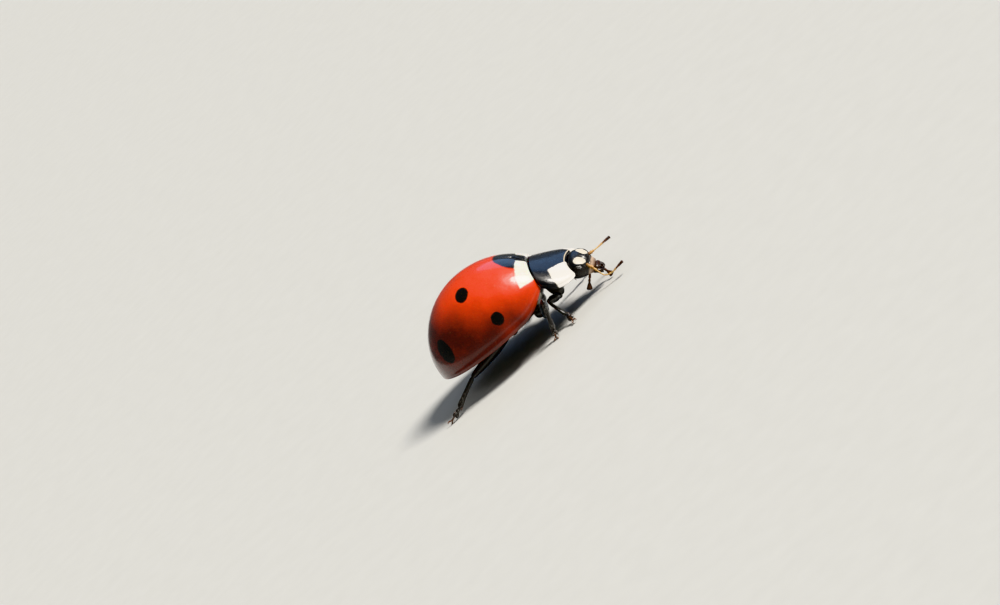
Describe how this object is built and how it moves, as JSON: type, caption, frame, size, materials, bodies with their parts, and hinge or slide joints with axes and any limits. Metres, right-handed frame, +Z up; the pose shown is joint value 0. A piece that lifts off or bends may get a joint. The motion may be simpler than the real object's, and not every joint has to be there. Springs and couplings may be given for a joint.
{
  "type": "seven-spot ladybird model",
  "caption": "Still, life-size model of a seven-spot ladybird standing with its head raised forward, red wing cases closed over the back and black legs spread on a level floor.",
  "frame": {"origin": "centre of the footprint's bounding box on the floor that the six feet stand on", "axes": "+Z up from the floor; the head points along -Y, the tail along +Y, and the animal's left side is +X"},
  "size_m": [0.0066, 0.0096, 0.0042],
  "materials": {
    "wing_case_shell": "glossy orange-red chitin with black spots and a white patch at each side of the base",
    "black_shell": "glossy black chitin, finely pitted, with ivory-white corner patches and face spots",
    "underside": "satin black chitin with short pale hairs",
    "eye": "black compound eye, finely faceted",
    "mouth_horn": "satin dark brown horn",
    "feeler_horn": "translucent yellowish-brown horn with darker tips",
    "leg_shell": "satin black chitin with fine hairs, browner at the feet"
  },
  "bodies": {
    "root": {"abdomen": "underside", "antenna_left_stalk": "feeler_horn", "antenna_left_tip": "feeler_horn", "antenna_right_stalk": "feeler_horn", "antenna_right_tip": "feeler_horn", "elytron_left": "wing_case_shell", "elytron_right": "wing_case_shell", "eye_left": "eye", "eye_right": "eye", "head": "black_shell", "labrum": "mouth_horn", "leg_front_left_coxa": "leg_shell", "leg_front_left_femur": "leg_shell", "leg_front_left_tarsus": "leg_shell", "leg_front_left_tibia": "leg_shell", "leg_front_right_coxa": "leg_shell", "leg_front_right_femur": "leg_shell", "leg_front_right_tarsus": "leg_shell", "leg_front_right_tibia": "leg_shell", "leg_hind_left_coxa": "leg_shell", "leg_hind_left_femur": "leg_shell", "leg_hind_left_tarsus": "leg_shell", "leg_hind_left_tibia": "leg_shell", "leg_hind_right_coxa": "leg_shell", "leg_hind_right_femur": "leg_shell", "leg_hind_right_tarsus": "leg_shell", "leg_hind_right_tibia": "leg_shell", "leg_middle_left_coxa": "leg_shell", "leg_middle_left_femur": "leg_shell", "leg_middle_left_tarsus": "leg_shell", "leg_middle_left_tibia": "leg_shell", "leg_middle_right_coxa": "leg_shell", "leg_middle_right_femur": "leg_shell", "leg_middle_right_tarsus": "leg_shell", "leg_middle_right_tibia": "leg_shell", "mandible_left": "mouth_horn", "mandible_right": "mouth_horn", "palp_left_stalk": "feeler_horn", "palp_left_tip": "feeler_horn", "palp_right_stalk": "feeler_horn", "palp_right_tip": "feeler_horn", "pronotum": "black_shell", "prothorax": "underside", "pterothorax": "underside", "scutellum": "black_shell"}
  },
  "joints": []
}
